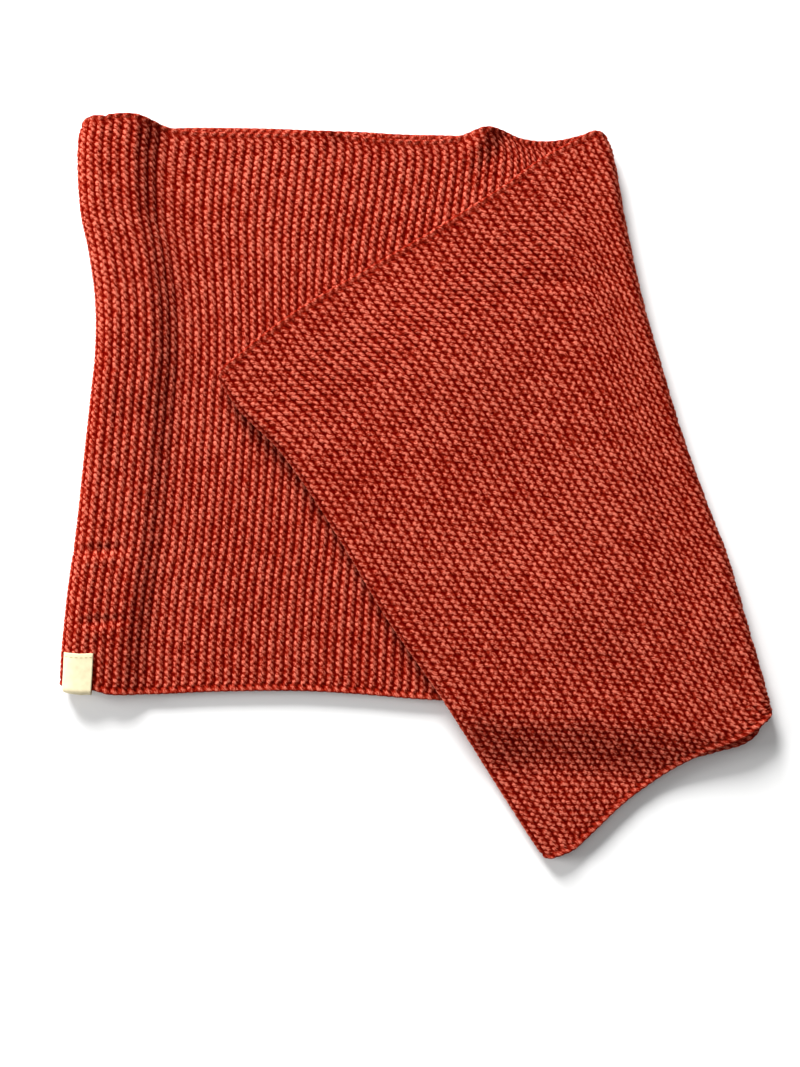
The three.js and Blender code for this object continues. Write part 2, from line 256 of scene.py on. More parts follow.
LOWER_SWELLS = (
    Swell(45, 222, 36, 14, -115, 5.5),
    Swell(-52, 222, 22, 12, -95, 2.2),
)
TURNED_SWELLS = (
    Swell(20, 80, 90, 55, -58, 2.4),
    Swell(150, 60, 60, 26, -72, 1.6),
    Swell(95, -70, 60, 30, -52, 2.0),
    Swell(180, -85, 30, 18, -70, 1.8),
    Swell(95, -185, 40, 22, -58, 1.5),
)
# Short tucks across the left roll, and long shallow creases
LOWER_CREASES = (
    Swell(-190, -38, 23, 5.5, 3, -1.4),
    Swell(-192, -45, 18, 5.5, 3, 0.5),
    Swell(-189, -81, 24, 5.2, 4, -1.2),
    Swell(-189, -88, 17, 5.5, 4, 0.4),
)
TURNED_CREASES = (
    Swell(80, 122, 80, 9, 8, -0.5),
    Swell(-30, 40, 60, 16, -56, -0.6),
    Swell(112, -160, 60, 12, -50, -0.9),
    Swell(150, -20, 55, 12, -64, -0.7),
)


# Plan geometry

def ease(share: Array | float) -> Array:
    """A smooth step from 0 to 1, held outside that range."""
    held = np.clip(share, 0.0, 1.0)
    return held * held * (3.0 - 2.0 * held)


def mix(low: Array | float, high: Array | float, share: Array | float) -> Array:
    """The value at a share of the way from low to high."""
    return low + (high - low) * share


def unit(vectors: Array) -> Array:
    """The vectors at length 1."""
    return vectors / np.linalg.norm(vectors, axis=-1, keepdims=True)


def column(rows: Sequence[NamedTuple], name: str, share: Array) -> Array:
    """The value of a table's column at a share of the way down it.

    Args:
        rows: The table.
        name: The column.
        share: Where to read it, from 0 to 1.

    Returns:
        The values, eased between the rows.
    """
    values = np.array([getattr(row, name) for row in rows], float)
    place = np.clip(share, 0.0, 1.0) * (len(rows) - 1)
    row = np.minimum(np.floor(place).astype(int), len(rows) - 2)
    return mix(values[row], values[row + 1], ease(place - row))


class Outline:
    """A smooth line in plan through a table's rows, read by its share of the way along."""

    SAMPLES = 60

    def __init__(self, rows: Sequence[NamedTuple], y_column: str = "y") -> None:
        """Makes the line.

        Args:
            rows: The table of its points.
            y_column: The column that holds y.
        """
        points = np.array([[row.x, getattr(row, y_column)] for row in rows], float)
        self.line = self._smooth(points)
        steps = np.linalg.norm(np.diff(self.line, axis=0), axis=1)
        self.shares = np.concatenate([[0.0], np.cumsum(steps)]) / steps.sum()

    def _smooth(self, points: Array) -> Array:
        """The centripetal spline through the points, sampled closely."""
        ends = [2 * points[0] - points[1]], [2 * points[-1] - points[-2]]
        p = np.concatenate([ends[0], points, ends[1]])
        p0, p1, p2, p3 = (p[k:len(p) - 3 + k][:, None, :] for k in range(4))
        d0, d1, d2 = (
            np.sqrt(np.linalg.norm(b - a, axis=-1, keepdims=True))
            for a, b in ((p0, p1), (p1, p2), (p2, p3))
        )
        t1 = ((p1 - p0) / d0 - (p2 - p0) / (d0 + d1) + (p2 - p1) / d1) * d1
        t2 = ((p2 - p1) / d1 - (p3 - p1) / (d1 + d2) + (p3 - p2) / d2) * d1
        u = np.linspace(0, 1, self.SAMPLES, endpoint=False)[None, :, None]
        cubic = 2 * p1 - 2 * p2 + t1 + t2
        square = -3 * p1 + 3 * p2 - 2 * t1 - t2
        line = p1 + t1 * u + square * u**2 + cubic * u**3
        return np.concatenate([line.reshape(-1, 2), points[-1:]])

    def at(self, share: Array) -> Array:
        """The points at shares of the way along."""
        return np.stack([np.interp(share, self.shares, axis) for axis in self.line.T], -1)

    def right(self, share: Array) -> Array:
        """The unit vectors to the right of the direction of travel."""
        half = BAND.direction_span / 2
        travel = self.at(share + half) - self.at(share - half)
        return unit(np.stack([travel[..., 1], -travel[..., 0]], -1))

    def offset(self, distance: Callable[[Array], Array] | float) -> Callable[[Array], Array]:
        """The line moved to its right, by a distance that may change along it."""
        far = distance if callable(distance) else (lambda share: distance + 0 * share)
        return lambda share: self.at(share) + self.right(share) * far(share)[..., None]

    def drawn_in(self, across: Array, corner: CornerPull) -> Array:
        """How this outline is drawn in along itself near the long edges.

        Args:
            across: Shares of the way across the band.
            corner: How far it is drawn in at each long edge.

        Returns:
            The vectors, none away from the edges.
        """
        right = self.right(across)
        travel = np.stack([-right[..., 1], right[..., 0]], -1)
        span = BAND.width / BAND.corner_span
        upper = corner.upper * ease(1 - across * span)
        lower = corner.lower * ease(1 - (1 - across) * span)
        return travel * (upper - lower)[..., None]


Line = Callable[[Array], Array]


@dataclass(frozen=True)
class Patch:
    """A plan patch between four outlines, whose start and end are kept exactly."""

    upper: Line
    lower: Line
    start: Line
    end: Line

    def _edge(self, line: Line, across: float, along: Array) -> Array:
        """A long edge that runs to its corners over a short share of the way."""
        ends = np.array([0.0, 1.0])
        first, last = (end(np.array([across]))[0] for end in (self.start, self.end))
        at_ends = line(ends)
        near = ease(1 - along / BAND.corner_share)[..., None]
        far = ease(1 - (1 - along) / BAND.corner_share)[..., None]
        return line(along) + (first - at_ends[0]) * near + (last - at_ends[1]) * far

    @staticmethod
    def _bow(line: Line, across: Array) -> Array:
        """How far an outline bows out from the straight way between its ends."""
        ends = line(np.array([0.0, 1.0]))
        return line(across) - mix(ends[0], ends[1], across[..., None])

    def at(self, along: Array, across: Array) -> Array:
        """The plan points at shares along and across the band."""
        along, across = np.broadcast_arrays(along, across)
        upper = self._edge(self.upper, 0.0, along)
        lower = self._edge(self.lower, 1.0, along)
        start, end = self._bow(self.start, across), self._bow(self.end, across)
        return mix(upper, lower, across[..., None]) + mix(start, end, along[..., None])


def swell_height(rows: Sequence[Swell], points: Array) -> Array:
    """The height that a table of soft rises adds at plan points."""
    height = np.zeros(points.shape[:-1])
    for row in rows:
        turn = math.radians(row.bearing)
        dx, dy = points[..., 0] - row.x, points[..., 1] - row.y
        along = (dx * math.cos(turn) + dy * math.sin(turn)) / row.along
        across = (dy * math.cos(turn) - dx * math.sin(turn)) / row.across
        height += row.height * ease(1 - np.hypot(along, across))
    return height


class Plan:
    """The band's outlines, and the lines that its bends turn about."""

    def __init__(self) -> None:
        """Makes the outlines from their tables."""
        sizes = BAND
        self.left_end = Outline(LEFT_END)
        self.diagonal = Outline(DIAGONAL_FOLD)
        self.right_end = Outline(RIGHT_END)
        self.front_upper = Outline(UPPER_EDGE, "front")
        self.back_upper = Outline(UPPER_EDGE, "back")
        self.lower = Outline(LOWER_EDGE)
        self.turned_upper = Outline(TURNED_UPPER_EDGE)
        self.turned_lower = Outline(TURNED_LOWER_EDGE)
        self.outer_turn = (Layer.OUTSIDE.level - Layer.BACK.level) / 2
        self.inner_turn = (Layer.INSIDE.level - Layer.FRONT.level) / 2
        self.turn_reach = self.outer_turn + sizes.cloth / 2
        self.right_reach = sizes.right_half + sizes.cloth / 2
        self.left_axis = self.left_end.offset(lambda share: -self.left_reach(share))
        self.fold_axis = self.diagonal.offset(self.turn_reach)
        seam = self.turn_reach + sizes.seam_lead + sizes.seam_gap
        self.fold_seam = self.diagonal.offset(seam)
        self.right_axis = self.right_end.offset(-self.right_reach)
        self.turned = Patch(
            self.turned_upper.at, self.turned_lower.at, self.fold_axis, self.right_axis
        )

    @staticmethod
    def left_reach(share: Array) -> Array:
        """From the left end's outline to the line that its roll turns about."""
        return column(LEFT_END, "roll_half", share) + BAND.cloth / 2

    def back_lower(self, share: Array) -> Array:
        """The back layer's lower long edge, just inside the front layer's."""
        return self.lower.at(share) + np.array([0.0, BAND.back_inset_lower])

    @staticmethod
    def inside_level(points: Array) -> Array:
        """The inside layer's middle level, on the lower stretch or down on the table."""
        rows = np.array([[row.x, row.y] for row in LOWER_EDGE])
        slopes = np.diff(rows[:, 1]) / np.diff(rows[:, 0])
        x = points[..., 0]
        edge = np.interp(x, rows[:, 0], rows[:, 1])
        edge += np.maximum(x - rows[-1, 0], 0) * slopes[-1]
        past = edge - points[..., 1] - BAND.drop_start
        return mix(Layer.INSIDE.level, Layer.BACK.level, ease(past / BAND.drop_reach))


def spatial(plan: Array, height: Array) -> Array:
    """Plan points with their heights."""
    return np.concatenate([plan, np.broadcast_to(height, plan.shape[:-1])[..., None]], -1)


# The four layers' forms

class LayerForm(ABC):
    """The middle of a layer's wall, read by the distance along the band and the way across.

    Distances along are counted from the form's own zero line. The outer side is the one that
    shows.
    """

    STATIONS = 89
    PITCH = 1.0
    SPARE = 14

    def __init__(self, plan: Plan) -> None:
        """Works out the layer's sections and spaces their points evenly.

        Args:
            plan: The band's outlines.
        """
        self.plan = plan
        self.across = np.linspace(0, 1, self.STATIONS)
        sections, zero = self.sections(self.across)
        steps = np.linalg.norm(np.diff(sections, axis=1), axis=2)
        travel = np.concatenate([np.zeros((len(sections), 1)), np.cumsum(steps, 1)], 1)
        travel -= travel[:, zero:zero + 1]
        self.starts, self.ends = travel[:, 0], travel[:, -1]
        self.first = math.floor(self.starts.min()) - self.SPARE
        last = math.ceil(self.ends.max()) + self.SPARE
        places = np.arange(self.first, last + 1, self.PITCH)
        self.grid = np.stack([
            self._resampled(points, at, places) for points, at in zip(sections, travel)
        ])
        self.normals = self._normals()

    @abstractmethod
    def sections(self, across: Array) -> tuple[Array, int]:
        """The section at each station across, and the number of its point on the zero line."""

    @property
    @abstractmethod
    def side(self) -> int:
        """1 where the outer side is to the left of travel going across, seen from it."""

    @staticmethod
    def _resampled(points: Array, travel: Array, places: Array) -> Array:
        """A section at even distances along, run on straight past its ends."""
        line = np.stack([np.interp(places, travel, axis) for axis in points.T], -1)
        ahead = unit(points[-1] - points[-2])
        behind = unit(points[0] - points[1])
        line += np.maximum(places - travel[-1], 0)[:, None] * ahead
        return line + np.maximum(travel[0] - places, 0)[:, None] * behind

    def _normals(self) -> Array:
        """The unit normals of the grid, towards the outer side."""
        down = np.gradient(self.grid, axis=0)
        along = np.gradient(self.grid, axis=1)
        return unit(np.cross(down, along)) * self.side

    def at(self, travel: Array, across: Array) -> tuple[Array, Array]:
        """The middle's points and unit normals.

        Args:
            travel: Distances along from the zero line, in millimetres.
            across: Shares of the way across the band, a little past 0 or 1 at most.

        Returns:
            The points and the normals.
        """
        i = across * (self.STATIONS - 1)
        j = (travel - self.first) / self.PITCH
        i0 = np.clip(np.floor(i).astype(int), 0, self.grid.shape[0] - 2)
        j0 = np.clip(np.floor(j).astype(int), 0, self.grid.shape[1] - 2)
        fi, fj = (i - i0)[:, None], (j - j0)[:, None]
        held = np.clip(fi, 0, 1)

        def blend(grid: Array, down: Array) -> Array:
            near = mix(grid[i0, j0], grid[i0, j0 + 1], fj)
            return mix(near, mix(grid[i0 + 1, j0], grid[i0 + 1, j0 + 1], fj), down)

        return blend(self.grid, fi), unit(blend(self.normals, held))

    def end_at(self, across: Array) -> Array:
        """The far end's distance along, at shares across."""
        return np.interp(across, self.across, self.ends)

    def start_at(self, across: Array) -> Array:
        """The near end's distance along, at shares across."""
        return np.interp(across, self.across, self.starts)

    def fabric_shift(self, fabric: Array, across: Array) -> Array:
        """How far the stitches lie further along than they were knitted."""
        return np.zeros_like(fabric)

    SETTLE = 80.0

    def travel_of(self, fabric: Array, across: Array) -> Array:
        """Where stitches of the flat cut lie along the form.

        Args:
            fabric: Distances along in the flat cut.
            across: Shares of the way across.

        Returns:
            Distances along the form, fitted to its two ends.
        """
        edge = np.clip(across, 0, 1)
        travel = fabric + self.fabric_shift(fabric, edge)
        straight = mix(self.ends[0], self.ends[-1], edge)
        miss = self.end_at(edge) - straight - self.fabric_shift(straight, edge)
        travel += miss * ease((fabric - straight + self.SETTLE) / self.SETTLE)
        near = self.start_at(edge) / self.starts.min() if self.starts.min() < 0 else 1.0
        return np.where(travel < 0, travel * near, travel)

    def bend(
        self, axis: Array, out: Array, drawn: Array | float, half: Array, low: Array, high: Array
    ) -> Array:
        """The points round a bend, from the seam under it to its top.

        Args:
            axis: The plan points that it turns about, one for each station.
            out: The unit vectors from the axis to the outline.
            drawn: How the outline is drawn in at the corners.
            half: The bend's half width.
            low: The level it starts at.
            high: The level it ends at.

        Returns:
            Its points, with the outline's at BEND_STEPS / 2 + 1.
        """
        turn = np.pi * (np.linspace(0, 1, self.BEND_STEPS + 1) - 0.5)
        reach = (half[:, None] * np.cos(turn))[..., None] * out[:, None]
        rounding = 1 - np.hypot(np.sin(turn), BAND.corner_ease) + BAND.corner_ease
        reach = reach + rounding[:, None] * np.broadcast_to(drawn, axis.shape)[:, None]
        height = mix(low[:, None], high[:, None], (1 + np.sin(turn)) / 2)
        arc = spatial(axis[:, None] + reach, height)
        lead = spatial(axis - out * BAND.seam_lead, low)[:, None]
        return np.concatenate([lead, arc], 1)

    BEND_STEPS = 24

    @staticmethod
    def beside_roll(distance: Array, reach: Array, landing: Array, top: Array, level: Array):
        """The height beside a roll, from its top down to a level over the landing."""
        return mix(top, level, ease((distance - reach) / (landing - reach)))


class LowerFrontForm(LayerForm):
    """The lower stretch's front layer, counted from the left end's outline."""

    ROLL_STEPS = 24
    FLAT_STEPS = 70
    SLOPE = 19.0
    CROWN_FALL = 0.1
    STRAIGHT_LEAN = 0.062
    STRAIGHT_FROM = 20.0
    STRAIGHT_OVER = 180.0
    UPPER_SWING = 7.5
    SWING_SPAN = 0.34

    @property
    def side(self) -> int:
        """Face up."""
        return 1

    def sections(self, across: Array) -> tuple[Array, int]:
        """The roll from the seam under it, then the layer out to the diagonal's seam."""
        plan = self.plan
        patch = Patch(plan.front_upper.at, plan.lower.at, plan.left_axis, plan.fold_seam)
        axis = patch.at(np.zeros_like(across), across)
        reach = plan.left_reach(across)
        landing = column(LEFT_END, "landing", across)
        top = column(LEFT_END, "roll_height", across) - BAND.cloth / 2
        half = reach - BAND.cloth / 2
        out, drawn = plan.left_end.right(across), plan.left_end.drawn_in(across, LEFT_CORNERS)
        roll = self.bend(axis, out, drawn, half, np.full_like(top, Layer.BACK.level), top)
        length = np.linalg.norm(axis - patch.at(np.ones_like(across), across), axis=1)
        landed = ((landing - reach) / length)[:, None]
        near = np.linspace(0, 1, self.ROLL_STEPS + 1)[1:] * landed
        far = mix(landed, 1.0, np.linspace(0, 1, self.FLAT_STEPS + 1)[1:])
        shares = np.concatenate([near, far], 1)
        points = patch.at(shares, across[:, None])
        fallen = self.beside_left_roll(
            reach[:, None] + shares * length[:, None], reach[:, None], landing[:, None]
        )
        level = mix(top[:, None], Layer.FRONT.level, fallen)
        level = level + swell_height(LOWER_SWELLS, points)
        return np.concatenate([roll, spatial(points, level)], 1), 1 + self.BEND_STEPS // 2

    def beside_left_roll(self, distance: Array, reach: Array, landing: Array) -> Array:
        """How far the cloth beside the roll has come down, from 0 on its top to 1."""
        crown = ease((distance - reach) / (landing - reach))
        slope = ease((distance - landing + self.SLOPE) / self.SLOPE)
        return mix(slope, crown, self.CROWN_FALL)

    def fabric_shift(self, fabric: Array, across: Array) -> Array:
        """The ridges follow the left end near it, run straight further on, and swing out
        to the right at the upper edge.
        """
        outline = self.plan.left_end.at(across)
        straight = self.STRAIGHT_LEAN * (outline[..., 1] - 52.0) - 204.0
        fade = ease((fabric - self.STRAIGHT_FROM) / self.STRAIGHT_OVER)
        swing = self.UPPER_SWING * ease(1 - across / self.SWING_SPAN)
        swing = swing * ease((fabric - self.STRAIGHT_FROM) * 3 / self.STRAIGHT_OVER)
        return (straight - outline[..., 0]) * fade + swing


class LowerBackForm(LayerForm):
    """The lower stretch's back layer, flat on the table, counted from its left seam."""

    STEPS = 60

    @property
    def side(self) -> int:
        """Face up."""
        return 1

    def sections(self, across: Array) -> tuple[Array, int]:
        """The flat layer from the roll's seam to the diagonal's."""
        plan = self.plan
        gap = BAND.seam_lead + BAND.seam_gap
        seam = plan.left_end.offset(lambda share: -(plan.left_reach(share) + gap))
        upper = BAND.back_inset_upper / BAND.width
        lower = 1 - BAND.back_inset_lower / BAND.width
        patch = Patch(
            plan.back_upper.at, plan.back_lower,
            lambda share: seam(mix(upper, lower, share)), plan.fold_seam,
        )
        points = patch.at(np.linspace(0, 1, self.STEPS + 1)[None], across[:, None])
        return spatial(points, Layer.BACK.level), 0


class TurnedForm(LayerForm):
    """What the turned stretch's two layers share."""

    STEPS = 90

    def stretch(self, across: Array) -> Array:
        """The plan points between the diagonal's bend and the right end's."""
        return self.plan.turned.at(np.linspace(0, 1, self.STEPS + 1)[None], across[:, None])

    def diagonal_bend(
        self, across: Array, drawn: Array | float, half: float, layers: tuple
    ) -> Array:
        """The bend at the diagonal, from the lower of two layers to the upper."""
        low, high = (np.full_like(across, layer.level) for layer in layers)
        out, half = -self.plan.diagonal.right(across), np.full_like(across, half)
        return self.bend(self.plan.fold_axis(across), out, drawn, half, low, high)


class TurnedInsideForm(TurnedForm):
    """The turned stretch's inside layer, counted from its seam at the right end."""

    @property
    def side(self) -> int:
        """Face up, though it is the front layer's back."""
        return 1

    def sections(self, across: Array) -> tuple[Array, int]:
        """The layer from the right end's seam to the inner bend of the diagonal."""
        plan = self.plan
        turn = self.diagonal_bend(across, 0.0, plan.inner_turn, (Layer.FRONT, Layer.INSIDE))
        points = self.stretch(across)
        back = BAND.seam_lead + BAND.seam_gap
        points[:, -1] -= plan.right_end.right(across) * back
        shares = np.linspace(0, 1, self.STEPS + 1)
        reach = column(TURNED_LOWER_EDGE, "reach", shares) * ease(shares * self.STEPS / 5)
        lean = plan.turned_lower.right(shares) * reach[:, None]
        near_edge = ease(1 - (1 - across) * BAND.width / BAND.corner_span)
        points -= lean[None] * near_edge[:, None, None]
        flat = spatial(points, plan.inside_level(points))
        whole = np.concatenate([turn, flat[:, 1:]], 1)
        return whole[:, ::-1], 0


class TurnedOutsideForm(TurnedForm):
    """The turned stretch's outside layer, counted from the right end's outline."""

    @property
    def side(self) -> int:
        """Face up."""
        return 1

    def sections(self, across: Array) -> tuple[Array, int]:
        """From the seam under the right end, over the stretch, to the diagonal's seam."""
        plan = self.plan
        drawn = plan.diagonal.drawn_in(across, DIAGONAL_CORNERS)
        turn = self.diagonal_bend(across, drawn, plan.outer_turn, (Layer.BACK, Layer.OUTSIDE))
        points = self.stretch(across)
        shares = np.linspace(0, 1, self.STEPS + 1)[None]
        length = np.linalg.norm(points[:, 0] - points[:, -1], axis=1)[:, None]
        top = column(RIGHT_END, "roll_height", across) - BAND.cloth
        distance = plan.right_reach + (1 - shares) * length
        step = self.beside_roll(
            distance, plan.right_reach, BAND.right_landing, top[:, None], BAND.layer_step
        )
        fade = ease(shares / BAND.fade_share) * ease((1 - shares) / BAND.fade_share)
        level = plan.inside_level(points)
        height = level + step + swell_height(TURNED_SWELLS, points) * fade
        upper = spatial(points, height)
        under = self.bend(
            points[:, -1], plan.right_end.right(across),
            plan.right_end.drawn_in(across, RIGHT_CORNERS),
            np.full_like(top, BAND.right_half), 0 * top, top,
        )
        under[..., 2] += plan.inside_level(under[..., :2])
        whole = np.concatenate([turn, upper[:, 1:], under[:, ::-1][:, 1:]], 1)
        return whole[:, ::-1], 1 + self.BEND_STEPS // 2


# The knitting

@dataclass(frozen=True)
class Loop:
    """An oval that stands up from each stitch, in millimetres.

    Its middle is counted along from the ridge's crest and across from the stitch's start, and
    it leans by degrees from the way across towards the way along.
    """

    along: float
    across: float
    half_length: float
    half_width: float
    lean: float

    def height(self, u: Array, v: Array, pitch: float, size: Array | float = 1.0) -> Array:
        """The oval's height.

        Args:
            u: Distances along from the ridge's crest.
            v: Distances across from the stitch's start.
            pitch: The stitch's width.
            size: Shares of the oval's full size.

        Returns:
            Heights from 0 outside the oval to 1 at its middle.
        """
        du, dv = u - self.along, v - self.across
        dv = dv - pitch * np.round(dv / pitch)
        cos, sin = math.cos(math.radians(self.lean)), math.sin(math.radians(self.lean))
        length = (dv * cos + du * sin) / (self.half_length * size)
        width = (du * cos - dv * sin) / (self.half_width * size)
        return np.clip(1 - length**2 - width**2, 0, 1)


HEAD = Loop(-0.90, 0.0, 1.80, 1.50, 8)
LEG = Loop(0.90, 2.15, 2.05, 1.15, 26)


@dataclass(frozen=True)
class Gauge:
    """Sizes of the garter stitch, in millimetres."""

    ridge: float = 5.14
    stitch: float = 4.16
    depth: float = 1.9
    border: float = 3.3
    border_fade: float = 1.3
    crest_share: float = 0.5
    leg_share: float = 0.86
    uneven: float = 0.16
    stray: float = 0.09

    @staticmethod
    def _wander(a: Array, b: Array, seed: float) -> Array:
        """A smooth uneven value from -1 to 1 over the stitches."""
        waves = ((1.7, 2.3, 0.0), (2.9, -1.3, 1.9), (-0.83, 3.1, 4.2), (4.3, 0.71, 2.6))
        total = sum(
            np.sin(ka * a + kb * b + phase * seed) for ka, kb, phase in waves
        )
        return total / len(waves)

    def strayed(self, a: Array, b: Array) -> tuple[Array, Array]:
        """Where the stitches lie when knitted a little unevenly, in ridges and stitches."""
        a = a + self.stray * self._wander(np.round(a), b, 1.0)
        return a, b + 2 * self.stray * self._wander(a, np.round(b), 2.0)

    def ridges(self, a: Array, b: Array) -> Array:
        """The height of the plain knitting.

        Args:
            a: Distances along, in ridges, whole on the crest of each.
            b: Distances across, in stitches.

        Returns:
            Heights from 0 in the grooves to 1 on the stitches.
        """
        a, b = self.strayed(a, b)
        fa = a - np.round(a)
        u, v = fa * self.ridge, b * self.stitch
        head_size = 1 + self.uneven * (2 * self.tone(a, b) - 1)
        leg_size = 1 + self.uneven * (2 * self.tone(a, b - 0.5) - 1)
        head = HEAD.height(u, v, self.stitch, head_size)
        leg = self.leg_share * LEG.height(u, v, self.stitch, leg_size)
        crest = np.cos(np.pi * fa) ** 0.8
        return mix(np.maximum(head, leg), crest, self.crest_share)

    @staticmethod
    def tone(a: Array, b: Array) -> Array:
        """An uneven value for each stitch, from 0 to 1."""
        mixed = np.sin(np.round(a) * 12.9898 + np.round(b) * 78.233) * 43758.5453
        return mixed - np.floor(mixed)

    def chain(self, a: Array, edge: Array) -> Array:
        """The height of the border's chain, one long bead to a ridge.

        Args:
            a: Distances along, in ridges.
            edge: Distances from the long edge, in millimetres.

        Returns:
            Heights from 0 to 1.
        """
        lean = a + 0.4 * edge / self.border + 0.12 * self._wander(a, 0 * a, 3.0)
        bead = 0.05 + 0.8 * np.abs(np.cos(np.pi * lean)) ** 0.8
        round_off = np.cos(np.pi * np.clip((edge - 1.3) / 5.2, -0.5, 0.5))
        return bead * (0.4 + 0.6 * round_off)

    def relief(self, a: Array, b: Array, edge: Array) -> Array:
        """The height of the knitting with its border.

        Args:
            a: Distances along, in ridges.
            b: Distances across, in stitches.
            edge: Distances from the nearer long edge, in millimetres.

        Returns:
            Heights from 0 to 1.
        """
        border = ease((self.border + self.border_fade / 2 - edge) / self.border_fade)
        groove = 0.14 * np.exp(-((edge - self.border) / 0.6) ** 2)
        height = mix(self.ridges(a, b), self.chain(a, edge), border) - groove
        return np.clip(height, 0.0, 1.0)


class Shown(NamedTuple):
    """Where a layer's stitches are made fine."""

    mask: Callable[[Array, Array, Array], Array]


@dataclass
class KnitPanel:
    """One layer of the scarf, cut flat stitch by stitch and laid on its form."""

    name: str
    node: str
    form: LayerForm
    shown: Callable[[Array, Array, Array], Array]
    creases: Sequence[Swell] = ()
    gauge: Gauge = Gauge()
    cell_width: float = 4.6
    cuts: int = 4
    rim_angle: float = math.radians(50)
    edge_blend: float = 3.0

    def build(self) -> bpy.types.Object:
        """Cuts the slab, makes it fine where it shows, and lays it on the form."""
        mesh = self._flat_slab()
        flat = np.empty(len(mesh.vertices) * 3)
        mesh.vertices.foreach_get("co", flat)
        flat = flat.reshape(-1, 3)
        points, height = self._laid(flat)
        mesh.vertices.foreach_set("co", (points * MM).ravel())
        a, b = self.gauge.strayed(
            flat[:, 0] / self.gauge.ridge, flat[:, 1] / self.gauge.stitch
        )
        edge = np.minimum(flat[:, 1], BAND.width - flat[:, 1])
        plain = ease((edge - self.gauge.border) / self.gauge.border_fade)
        tone = self.gauge.tone(a, b)
        # stitch_height also drives the yarn's painted shade in the grooves and painted highlight
        # on the tops.
        for name, values in (
            ("stitch_height", height), ("stitch_tone", tone), ("plain_knit", plain)
        ):
            attribute = mesh.attributes.new(name, "FLOAT", "POINT")
            attribute.data.foreach_set("value", values.astype(np.float32))
        self._add_uv(mesh, np.stack([a, b], -1))
        mesh.shade_smooth()
        mesh.update()
        piece = bpy.data.objects.new(self.name, mesh)
        bpy.context.scene.collection.objects.link(piece)
        mesh.calc_loop_triangles()
        log.info("%s: %d triangles", self.name, len(mesh.loop_triangles))
        return piece

    def flat_size(self) -> tuple[float, float]:
        """The cut's width and greatest length, in metres."""
        start = min(self.form.starts.min(), 0.0)
        return BAND.width * MM, (max(self.form.ends[0], self.form.ends[-1]) - start) * MM

    def flat_area(self) -> float:
        """The cut's real area, in square metres."""
        start = min(self.form.starts.min(), 0.0)
        mean = (self.form.ends[0] + self.form.ends[-1]) / 2 - start
        return BAND.width * mean * MM * MM

    def _flat_slab(self) -> bpy.types.Mesh:
        """The flat cut as a closed slab: x along in millimetres, y across, z through."""
        gauge, form = self.gauge, self.form
        start = min(form.starts.min(), 0.0)
        first = math.floor(start / gauge.ridge + 0.5) - 0.5
        ridges = math.ceil(max(form.ends[0], form.ends[-1]) / gauge.ridge - first)
        cells = round(BAND.width / self.cell_width)
        bm = bmesh.new()
        bmesh.ops.create_grid(bm, x_segments=ridges, y_segments=cells, size=0.5)
        length = ridges * gauge.ridge
        bmesh.ops.scale(bm, vec=(length, BAND.width, 1.0), verts=bm.verts)
        middle = first * gauge.ridge + length / 2
        bmesh.ops.translate(bm, vec=(middle, BAND.width / 2, 0.0), verts=bm.verts)
        near_end, far_end = form.ends[0], form.ends[-1]
        self._trim(bm, (near_end, 0.0), (BAND.width, -(far_end - near_end)))
        self._trim(bm, (start, 0.0), (-1.0, 0.0))
        lifted = bmesh.ops.extrude_face_region(
            bm, geom=bm.faces[:] + bm.edges[:] + bm.verts[:], use_keep_orig=True
        )
        upper = [part for part in lifted["geom"] if isinstance(part, bmesh.types.BMVert)]
        bmesh.ops.translate(bm, vec=(0.0, 0.0, BAND.cloth), verts=upper)
        bmesh.ops.recalc_face_normals(bm, faces=bm.faces)
        self._refine(bm)
        mesh = bpy.data.meshes.new(self.name)
        bm.to_mesh(mesh)
        bm.free()
        return mesh

    @staticmethod
    def _trim(bm: bmesh.types.BMesh, point: tuple, normal: tuple) -> None:
        """Cuts away what lies on a line's far side in plan."""
        bmesh.ops.bisect_plane(
            bm, geom=bm.faces[:] + bm.edges[:] + bm.verts[:], dist=0.01,
            plane_co=(*point, 0.0), plane_no=(*normal, 0.0), clear_outer=True,
        )

    def _refine(self, bm: bmesh.types.BMesh) -> None:
        """Divides the stitches that show, and the long edges beside them."""
        faces = bm.faces[:]
        middles = np.array([face.calc_center_median() for face in faces])
        fabric, distance = middles[:, 0], middles[:, 1]
        across = distance / BAND.width
        travel = self.form.travel_of(fabric, across)
        points, _ = self.form.at(travel, across)
        shown = self.shown(points, travel, across)
        upper = middles[:, 2] > BAND.cloth * 0.9
        rim = (distance < 0.01) | (distance > BAND.width - 0.01)
        edges = {
            edge for face, fine in zip(faces, shown & (upper | rim)) if fine
            for edge in face.edges
        }
        bmesh.ops.subdivide_edges(
            bm, edges=list(edges), cuts=self.cuts, use_grid_fill=True
        )

    def _laid(self, flat: Array) -> tuple[Array, Array]:
        """Where the slab's points lie on the form.

        Args:
            flat: The slab's points.

        Returns:
            The points in millimetres, and the height of the knitting at each.
        """
        gauge, half = self.gauge, BAND.cloth / 2
        fabric, distance, depth = flat.T
        a, b = fabric / gauge.ridge, distance / gauge.stitch
        share = depth / BAND.cloth - 0.5
        edge = np.minimum(distance, BAND.width - distance)
        rim = edge < 0.001
        outer = share > 0.49
        height = np.where(share > -0.49, gauge.relief(a, b, edge), 0.6)

